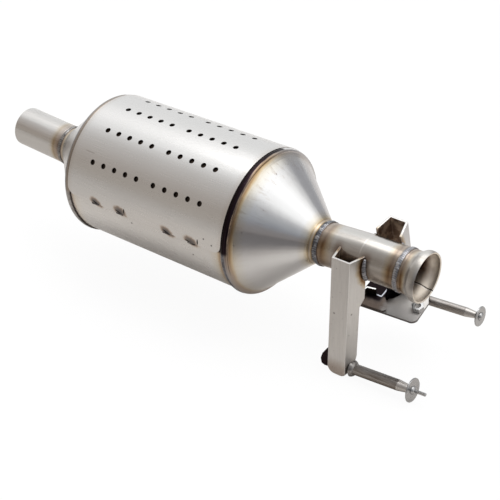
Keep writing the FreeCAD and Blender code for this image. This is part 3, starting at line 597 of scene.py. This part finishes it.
def bracket_material(name, steel, middle, back, black_below):
    """Folded channel. middle is its place along X, and back the side along Y, -1 or 1, that it opens
    towards. The faces inside the folds turn black below the height black_below, as painted shade.
    """
    material, g = new_metal(name)
    place = g.place()
    x, y, z = g.parts(place)
    colour = steel_colour(g, place, steel, 0.08)
    streak = grain(g, place, 0.05, 0.9, "z")
    colour = g.mix(g.span(streak, 0.40, 0.75, 0.0, 0.25), colour, [c * 0.72 for c in steel])
    # Browned near the pipe and at the foot.
    axis = g.vector("MULTIPLY", place, (0.0, 1.0, 1.0))
    from_axis = g.vector("LENGTH", g.vector("SUBTRACT", axis, (0.0, 0.0, PIPE_HEIGHT)))
    from_pipe = g.minus(from_axis, PIPE_RADIUS)
    from_pipe = g.plus(from_pipe, wander(g, place, 7.0, 2.2))
    colour = g.mix(1.0, colour, tint(g, g.times(from_pipe, 1.3), TINT_DEEP), "MULTIPLY")
    foot = g.plus(z, wander(g, place, 9.0, 6.0))
    colour = g.mix(g.span(foot, -98.0, -112.0, 0.0, 0.50), colour, (0.24, 0.155, 0.10))
    # The faces inside the folds are brown in clouds: partly scale, partly painted shade inside the channel.
    facing = g.parts(g.facing())
    inner = g.times(facing[0], g.math("SIGN", g.minus(middle, x)))
    inner = g.most(g.span(inner, 0.30, 0.50), g.span(g.times(facing[1], back), 0.30, 0.50))
    cloud = g.span(g.noise(place, 0.10, 4.0, 0.65), 0.40, 0.62)
    scale_and_shade = g.mix(cloud, (0.24, 0.165, 0.12), (0.64, 0.53, 0.43))
    colour = g.mix(g.times(inner, 0.95), colour, scale_and_shade)
    # Painted shade: the faces inside the folds go black low down.
    black = g.span(g.plus(z, wander(g, place, 8.0, 2.0)), black_below + 4.0, black_below - 4.0)
    colour = g.mix(g.times(black, inner), colour, (0.008, 0.006, 0.008))
    # Painted shade: the front channel's low ear is nearly black.
    ear_shade = g.times(g.span(x, 217.3, 216.2), g.span(z, -95.0, -97.5))
    ear_shade = g.times(ear_shade, g.math("LESS_THAN", y, 0.0))
    colour = g.mix(ear_shade, colour, (0.016, 0.009, 0.010))
    pits = g.span(g.noise(place, 0.28, 1.0), 0.74, 0.79)
    for speck in BRACKET_SPECKS:
        pits = g.most(pits, g.span(g.vector("DISTANCE", place, speck), 1.5, 0.7))
    colour = g.mix(g.times(pits, 0.6), colour, (0.10, 0.08, 0.07))
    rough = g.plus(g.times(streak, 0.18), 0.36)
    # Painted highlight along the cut edges and folds.
    edge = bevel(g, 0.9, 6)
    flat = g.node("ShaderNodeNewGeometry").outputs["Normal"]
    edge_highlight = g.span(g.vector("DOT_PRODUCT", edge, flat), 0.99, 0.90)
    edge_highlight = g.times(edge_highlight, g.minus(1.0, g.most(inner, ear_shade)))
    colour = g.mix(g.times(edge_highlight, 0.7), colour, (0.86, 0.85, 0.84))
    normal = g.bump(grain(g, place, 0.05, 1.5, "z"), 0.15, 0.06 * MM, edge)
    finish_metal(g, colour, rough, normal)
    return material


# Foot plate: the way its top looks, the tab's two edges with their painted highlight, the end of the tab's
# painted pale top, and the painted dark patch of shade as an ellipse with its place and half lengths along X
# and Y.
PLATE_UP = (0.0, -0.27, 0.963)
TAB_EDGE_X = 223.6
TAB_EDGE_Y = 45.8
TAB_PALE_END = 219.0
PLATE_SHADE_PATCH = (228.5, 60.0, 11.6, 14.2)


def plate_material():
    """Foot plate: taupe, with painted shade nearly black where it lies inside the channel and behind the tab.
    """
    material, g = new_metal("plate_taupe")
    place = g.place()
    x, y, z = g.parts(place)
    # Painted light: lighter towards the back, under the pipe.
    colour = g.mix(g.span(y, 36.0, 50.0), (0.46, 0.445, 0.43), (0.71, 0.685, 0.655))
    colour = steel_colour(g, place, colour, 0.10)
    ragged = wander(g, place, 6.0, 3.0)
    # Painted shade: nearly black inside the channel's mouth and behind the tab.
    patch = g.plus(near_point(g, x, y, *PLATE_SHADE_PATCH), g.times(ragged, 0.02))
    black = g.span(patch, 0.93, 1.07, 1.0, 0.0)
    left = g.times(g.span(g.plus(y, ragged), 34.0, 41.0), g.span(x, 229.0, 224.0))
    dark = g.most(black, left)
    colour = g.mix(g.span(y, 39.0, 27.0, 0.0, 0.65), colour, (0.20, 0.19, 0.18))
    brown = g.span(g.plus(x, ragged), 243.0, 229.0, 0.0, 0.95)
    colour = g.mix(brown, colour, (0.075, 0.050, 0.036))
    colour = g.mix(dark, colour, (0.008, 0.005, 0.006))
    # Painted shade: faces that look away from the plate's top are nearly black.
    rim = g.span(g.vector("DOT_PRODUCT", g.facing(), PLATE_UP), 0.8, 0.3)
    colour = g.mix(g.times(rim, 0.8), colour, (0.05, 0.037, 0.030))
    # Painted highlight: the tab's top is pale where it faces up.
    tab_top = g.times(g.span(z, -65.8, -64.8), g.minus(1.0, rim))
    tab_top = g.times(tab_top, g.math("LESS_THAN", x, TAB_PALE_END))
    colour = g.mix(tab_top, colour, (0.75, 0.75, 0.74))
    # Painted highlight along the edges where the tab was folded up out of the plate.
    side = g.times(g.span(g.apart(x, TAB_EDGE_X), 0.4, 1.0, 1.0, 0.0),
                   g.times(g.span(y, 45.2, 46.2), g.span(y, 58.0, 56.0)))
    end = g.times(g.span(g.apart(y, TAB_EDGE_Y), 0.4, 1.0, 1.0, 0.0),
                  g.times(g.span(x, 216.0, 217.5), g.span(x, 224.6, 223.8)))
    cut = g.times(g.most(side, end), g.minus(1.0, rim))
    colour = g.mix(cut, colour, (0.42, 0.43, 0.47))
    rough = g.plus(g.times(g.noise(place, 0.4, 4.0), 0.2), 0.42)
    edge = bevel(g, 0.5)
    normal = g.bump(g.noise(place, 1.2, 4.0), 0.15, 0.08 * MM, edge)
    finish_metal(g, colour, rough, normal, g.most(g.times(brown, 0.6), dark, clamp=True))
    return material


# Where the rods' machined ends begin along X; the rear one's lies further out.
FRONT_ROD_END = 296.2
REAR_ROD_FURTHER = 14.0


def rod_material():
    material, g = new_metal("rod_drawn")
    place = g.place()
    x, y = g.parts(place)[:2]
    streak = grain(g, place, 0.05, 1.1)
    broad = grain(g, place, 0.04, 0.35)
    colour = g.mix(g.span(streak, 0.35, 0.70), (0.30, 0.28, 0.265), (0.15, 0.125, 0.105))
    colour = g.mix(g.span(broad, 0.45, 0.70, 0.0, 0.6), colour, (0.33, 0.32, 0.31))
    # Darker brown on the faces that look down.
    upward = g.parts(g.facing())[2]
    colour = g.mix(g.span(upward, 0.35, -0.55, 0.0, 0.7), colour, (0.12, 0.085, 0.060))
    # Painted shade: the front rod's top faces are darker.
    over = g.times(g.span(upward, 0.50, 0.90, 0.0, 0.55), g.span(y, 5.0, -5.0))
    colour = g.mix(over, colour, (0.13, 0.12, 0.115))
    # Machined end of each rod.
    rear = g.math("GREATER_THAN", y, 0.0)
    ends = g.plus(g.times(rear, REAR_ROD_FURTHER), FRONT_ROD_END)
    bare = g.span(g.minus(x, ends), -0.8, 0.4)
    # Painted light: the rear rod is lighter all over.
    colour = g.mix(g.times(rear, 0.25), colour, (0.56, 0.54, 0.52))
    colour = g.mix(bare, colour, (0.44, 0.42, 0.40))
    rough = g.plus(g.times(streak, 0.22), 0.27)
    normal = g.bump(streak, 0.12, 0.10 * MM)
    finish_metal(g, colour, rough, normal)
    return material


def zinc_material():
    material, g = new_metal("zinc_bright")
    place = g.place()
    colour = steel_colour(g, place, (0.36, 0.36, 0.36), 0.20)
    rough = g.plus(g.times(g.noise(place, 0.8, 3.0), 0.20), 0.16)
    edge = bevel(g, 0.35)
    normal = g.bump(g.noise(place, 1.2, 3.0), 0.20, 0.08 * MM, edge)
    finish_metal(g, colour, rough, normal)
    return material


def weld_material(name, body, trough, edge, fleck, covered=None):
    """Weld bead: colour by the ripple height and by how near the bead's edge it is.

    body and trough lie on and between the ripples, fleck in clouds, and edge along both edges. covered
    is the darker colour painted on the bead beside the shield: painted shade where the shield's end overhangs
    it.
    """
    material, g = new_metal(name)
    place = g.place()
    across = g.node("ShaderNodeAttribute", attribute_name="across").outputs["Fac"]
    crest = g.node("ShaderNodeAttribute", attribute_name="crest").outputs["Fac"]
    mottle = g.noise(place, 0.22, 2.0, 0.5)
    colour = g.mix(g.span(crest, 0.25, 0.75), trough, body)
    colour = g.mix(g.span(mottle, 0.46, 0.66, 0.0, 0.75), colour, fleck)
    colour = g.mix(g.span(g.noise(place, 0.13, 2.0, 0.5), 0.46, 0.34, 0.0, 0.7), colour, trough)
    colour = g.mix(g.span(across, 0.62, 0.98), colour, edge)
    if covered:
        # Painted shade on the bead where the shield's end overhangs it.
        colour = g.mix(covered_by_shield(g, place), colour, covered)
        # Painted highlight of the shield's bright end lip, over the top towards the back.
        y, z = g.parts(place)[1:]
        lip_highlight = g.times(g.span(y, 18.0, 23.0), g.span(y, 46.0, 40.0))
        lip_highlight = g.times(lip_highlight, g.span(z, 0.0, 10.0))
        colour = g.mix(lip_highlight, colour, (0.80, 0.79, 0.78))
    rough = g.plus(g.times(mottle, 0.3), 0.18)
    normal = g.bump(g.noise(place, 1.6, 3.0), 0.25, 0.10 * MM)
    finish_metal(g, colour, rough, normal)
    return material


CELL_PITCH = 1.47
# Even, and more than the brick's half width in cells, so that no cell's number is below zero.
CELL_OFFSET = 200.0


def brick_material():
    """Honeycomb of square cells, alternate cells plugged and the open ones painted near black as painted
    shade down the channels; the cement seams are cut in the solid.
    """
    material, g = new_metal("honeycomb")
    place = g.place()
    counts = [g.plus(g.over(value, CELL_PITCH), CELL_OFFSET) for value in g.parts(place)[1:]]
    walls = g.largest([g.apart(g.math("FRACT", count), 0.5) for count in counts])
    cell = g.span(walls, 0.38, 0.42, 1.0, 0.0)
    odd = g.plus(*[g.math("FLOOR", count) for count in counts])
    open_cell = g.math("GREATER_THAN", g.math("FRACT", g.times(odd, 0.5)), 0.25)
    hole = g.times(cell, open_cell)
    colour = g.mix(hole, (0.36, 0.37, 0.36), (0.015, 0.015, 0.015))
    colour = g.mix(g.times(g.noise(place, 0.12, 4.0), 0.25), colour, (0.20, 0.19, 0.18))
    normal = g.bump(g.minus(1.0, hole), 0.8, 0.6 * MM)
    finish_metal(g, colour, 0.85, normal, 0.0)
    return material


def mat_material():
    material, g = new_metal("fibre_mat")
    place = g.place()
    fibres = g.noise(place, 1.5, 6.0, 0.7)
    colour = g.mix(fibres, (0.80, 0.77, 0.68), (0.62, 0.58, 0.48))
    finish_metal(g, colour, 0.95, g.bump(fibres, 0.6, 0.5 * MM), 0.0)
    return material


# Weld beads with their ripples, each in place of the smooth solid that carries it.
RING_POINTS = 20
RIM_STEPS = 780
RING_STEPS = 462
CORNER_STEPS = 84
FULL_TURN = 360
RIPPLE_PITCH = 2.2
CORNER_PITCH = 2.6
ROOT_DEPTH = 0.55
RIPPLE_BOW = 0.55
RING_SUNK = 0.25
CORNER_RAISED = 0.6
CORNER_TILT = 2.0
CORNER_LEAN = 45
CORNER_SEED = 31


def smooth(mesh):
    for face in mesh.polygons:
        face.use_smooth = True


def bead_mesh(name, line, closed, half_width, height, ripple_pitch, seed, lift=0.0, ripple=0.20):
    """Bead along a line of (point, out, side); the section is a low hump with a sunk root.

    ripple is the share of the height that the ripples take, and lift raises the bead off the line. The
    point attributes say how far from the middle (across) and how high on a ripple (crest) a place is.
    """
    random.seed(seed)
    count = len(line)
    rings = count if closed else count - 1
    vertices = []
    across = []
    crest = []
    length = sum((line[i][0] - line[(i + 1) % count][0]).length for i in range(rings))
    ripples = max(1, round(length / ripple_pitch))
    ends = 2.2 * half_width
    travelled = 0.0
    wobble = [random.uniform(-1.0, 1.0) for _ in range(ripples + 2)]
    for i, (point, out, side) in enumerate(line):
        if i:
            travelled += (point - line[i - 1][0]).length
        share = travelled / length
        taper = 1.0
        if not closed:
            near = min(travelled, length - travelled)
            taper = math.sqrt(max(0.0, 1 - (1 - min(1.0, near / ends)) ** 2))
        for k in range(RING_POINTS):
            turn = 2 * math.pi * k / RING_POINTS
            w = math.cos(turn)
            up = math.sin(turn)
            phase = share * ripples - RIPPLE_BOW * w * w
            number = int(math.floor(phase)) % ripples
            saw = phase - math.floor(phase)
            ridge = math.sin(math.pi * saw ** 0.7) ** 0.8
            size = 1.0 + 0.5 * ripple * wobble[number]
            if up > 0:
                level = height * up * (1.0 - ripple + ripple * ridge) * size
            else:
                level = height * up * ROOT_DEPTH
            wide = half_width * w * size * (1.0 + 0.05 * (ridge - 0.5))
            vertices.append(point + side * (wide * taper) + out * ((level + lift) * taper))
            across.append(abs(w) if up >= 0 else 1.0)
            crest.append(ridge if up > 0 else 0.0)
    faces = []
    for i in range(rings):
        here = i * RING_POINTS
        ahead = (i + 1) % count * RING_POINTS
        for k in range(RING_POINTS):
            m = (k + 1) % RING_POINTS
            faces.append((here + k, ahead + k, ahead + m, here + m))
    if not closed:
        faces.append(tuple(range(RING_POINTS)))
        faces.append(tuple((count - 1) * RING_POINTS + k for k in reversed(range(RING_POINTS))))
    mesh = bpy.data.meshes.new(name)
    mesh.from_pydata([v * MM for v in vertices], [], faces)
    work = bmesh.new()
    work.from_mesh(mesh)
    bmesh.ops.recalc_face_normals(work, faces=work.faces)
    work.to_mesh(mesh)
    work.free()
    smooth(mesh)
    for label, values in (("across", across), ("crest", crest)):
        layer = mesh.attributes.new(label, "FLOAT", "POINT")
        layer.data.foreach_set("value", values)
    return mesh


def arc_line(centre, tilt, radius, first, last, steps, lean=0.0):
    """Points round an axis that lies along X, tilted up by tilt degrees.

    Angles in degrees begin at the far side: 90 is the top and 180 the near side.
    lean turns the bead's crown from straight out towards plus X, for a bead in a corner.
    """
    axis_turn = Matrix.Rotation(-math.radians(tilt), 3, "Y")
    axis = axis_turn @ Vector((1, 0, 0))
    tip = math.radians(lean)
    gaps = steps if abs(last - first) >= FULL_TURN else steps - 1
    line = []
    for i in range(steps):
        turn = math.radians(first + (last - first) * i / gaps)
        out = axis_turn @ Vector((0, math.cos(turn), math.sin(turn)))
        point = Vector(centre) + out * radius
        crown = out * math.cos(tip) + axis * math.sin(tip)
        side = axis * math.cos(tip) - out * math.sin(tip)
        line.append((point, crown, side))
    return line


def join_meshes(name, meshes):
    """One mesh from several, with their attributes kept."""
    work = bmesh.new()
    for mesh in meshes:
        work.from_mesh(mesh)
    whole = bpy.data.meshes.new(name)
    work.to_mesh(whole)
    work.free()
    smooth(whole)
    for mesh in meshes:
        bpy.data.meshes.remove(mesh)
    return whole


def add_piece(name, mesh, material, node):
    """Puts a bead into the scene in place of the solid called node."""
    mesh.materials.append(material)
    piece = bpy.data.objects.new(name, mesh)
    scene.collection.objects.link(piece)
    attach(piece, "root")
    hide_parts(node)


def outlet_height(x):
    """Height of the outlet pipe's axis at this x."""
    slope = math.tan(math.radians(OUTLET_TILT))
    tail = math.tan(math.radians(TAIL_TILT))
    if x < BEND_X:
        return (x - OUTLET_CONE_END) * slope
    return (BEND_X - OUTLET_CONE_END) * slope + (x - BEND_X) * tail


def make_welds():
    grey_bead = weld_material("weld_grey", (0.16, 0.165, 0.18), (0.050, 0.050, 0.058), (0.12, 0.08, 0.055),
                              (0.40, 0.395, 0.40))
    pale_bead = weld_material("weld_pale", (0.27, 0.27, 0.285), (0.12, 0.12, 0.13), (0.17, 0.13, 0.10),
                              (0.46, 0.455, 0.46))
    dark_bead = weld_material("weld_dark", (0.155, 0.155, 0.17), (0.07, 0.065, 0.07), (0.075, 0.052, 0.042),
                              (0.22, 0.22, 0.235), (0.014, 0.009, 0.010))
    brown_bead = weld_material("weld_brown", (0.34, 0.33, 0.32), (0.20, 0.19, 0.18), (0.12, 0.105, 0.10),
                               (0.40, 0.39, 0.38), (0.28, 0.24, 0.205))
    slate_bead = weld_material("weld_slate", (0.24, 0.225, 0.21), (0.09, 0.085, 0.085),
                               (0.075, 0.070, 0.075), (0.34, 0.33, 0.325))
    for place_x, word, seed, finish in ((INLET_RIM_BEAD_X, "inlet", 10, brown_bead),
                                        (OUTLET_RIM_BEAD_X, "outlet", 12, dark_bead)):
        line = arc_line((place_x, 0, 0), 0, RIM_BEAD_RADIUS, 0, FULL_TURN, RIM_STEPS)
        mesh = bead_mesh(word + "_rim_bead", line, True, RIM_BEAD_HALF, 1.7, RIPPLE_PITCH, seed, 0.0, 0.06)
        add_piece(word + "_rim_bead", mesh, finish, word + "_rim_weld")
    # Name, node, middle, tilt, half width, height, seed and finish.
    rings = (("inlet_pipe_bead", "inlet_pipe_weld", (INLET_BEAD_X, 0, 0), -INLET_TILT / 2,
              2.3, 1.2, 21, slate_bead),
             ("neck_bead", "outlet_cone_weld", (NECK_BEAD_X, 0, NECK_BEAD_HEIGHT), OUTLET_TILT / 2,
              3.3, 1.5, 22, grey_bead),
             ("flare_bead", "outlet_flare_weld", (FLARE_BEAD_X, 0, outlet_height(FLARE_BEAD_X)), FLARE_TILT,
              3.0, 1.4, 23, pale_bead))
    for name, node, centre, tilt, half, tall, seed, finish in rings:
        line = arc_line(centre, tilt, PIPE_RADIUS - RING_SUNK, 0, FULL_TURN, RING_STEPS)
        mesh = bead_mesh(name, line, True, half, tall, RIPPLE_PITCH, seed)
        add_piece(name, mesh, finish, node)
    # Each bracket has two beads: first and last angle of each.
    corners = (("front_bracket_beads", "front_bracket_welds", FRONT_BRACKET_X, ((158, 216), (155, 222))),
               ("rear_bracket_beads", "rear_bracket_welds", REAR_BRACKET_X, ((-14, 44), (-14, 44))))
    for name, node, places, angles in corners:
        meshes = []
        for number, lean in enumerate((-CORNER_LEAN, CORNER_LEAN)):
            x = places[number]
            first, last = angles[number]
            line = arc_line((x, 0, outlet_height(x)), CORNER_TILT, PIPE_RADIUS + CORNER_RAISED,
                            first, last, CORNER_STEPS, lean)
            meshes.append(bead_mesh(name + str(number), line, False, 2.6, 1.9, CORNER_PITCH,
                                    CORNER_SEED + number, 0.2))
        add_piece(name, join_meshes(name, meshes), pale_bead, node)


def dress(node, material):
    """Gives one material to the solid called node."""
    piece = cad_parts[node]
    for slot in piece.material_slots:
        slot.material = material
    if not piece.material_slots:
        piece.data.materials.append(material)


make_camera()
make_world()
area_lamp("top_box", place=(0.1, 0.15, 1.5), aim=(0.05, 0, 0), width=1.8, height=0.8, watts=10)
make_floor()

finishes = {
    "shield": shield_material(),
    "can": can_material(),
    "inlet_cone": cone_material("cone_satin", rough_level=0.26, rim_tint=0.45),
    "outlet_cone": cone_material("cone_bright", rough_level=0.13, rim_tint=1.0),
    "inlet": pipe_material("pipe_brushed", (0.60, 0.585, 0.565), deep=False),
    "outlet": pipe_material("pipe_tinted", (0.38, 0.36, 0.335), deep=True),
    "front": bracket_material("bracket_front", (0.57, 0.555, 0.535), middle=227.1, back=1.0,
                              black_below=NOWHERE),
    "rear": bracket_material("bracket_rear", (0.57, 0.56, 0.55), middle=244.0, back=-1.0,
                             black_below=-30.0),
    "plate": plate_material(),
    "rod": rod_material(),
    "zinc": zinc_material(),
    "brick": brick_material(),
    "mat": mat_material(),
    "weld": weld_material("weld_spot", (0.13, 0.12, 0.12), (0.05, 0.045, 0.045), (0.10, 0.08, 0.07),
                          (0.22, 0.21, 0.21)),
    "rod_weld": weld_material("weld_rod", (0.26, 0.25, 0.24), (0.20, 0.185, 0.175), (0.10, 0.08, 0.07),
                              (0.30, 0.29, 0.28)),
}
dressing = {
    "heat_shield": "shield", "can_shell": "can", "inlet_cone": "inlet_cone",
    "outlet_cone": "outlet_cone", "inlet_pipe": "inlet", "outlet_pipe": "outlet",
    "outlet_flare": "outlet", "front_bracket": "front",
    "rear_bracket": "rear", "rear_foot_plate": "plate", "front_hanger_rod": "rod",
    "rear_hanger_rod": "rod", "front_washer": "zinc", "rear_washer": "zinc", "front_rivet": "zinc",
    "rear_rivet": "zinc", "rear_foot_nut": "zinc", "filter_brick": "brick", "support_mat": "mat",
    "shield_stitch_welds": "weld", "front_rod_weld": "rod_weld", "rear_rod_weld": "rod_weld",
}
for node_name, finish_name in dressing.items():
    dress(node_name, finishes[finish_name])
make_welds()
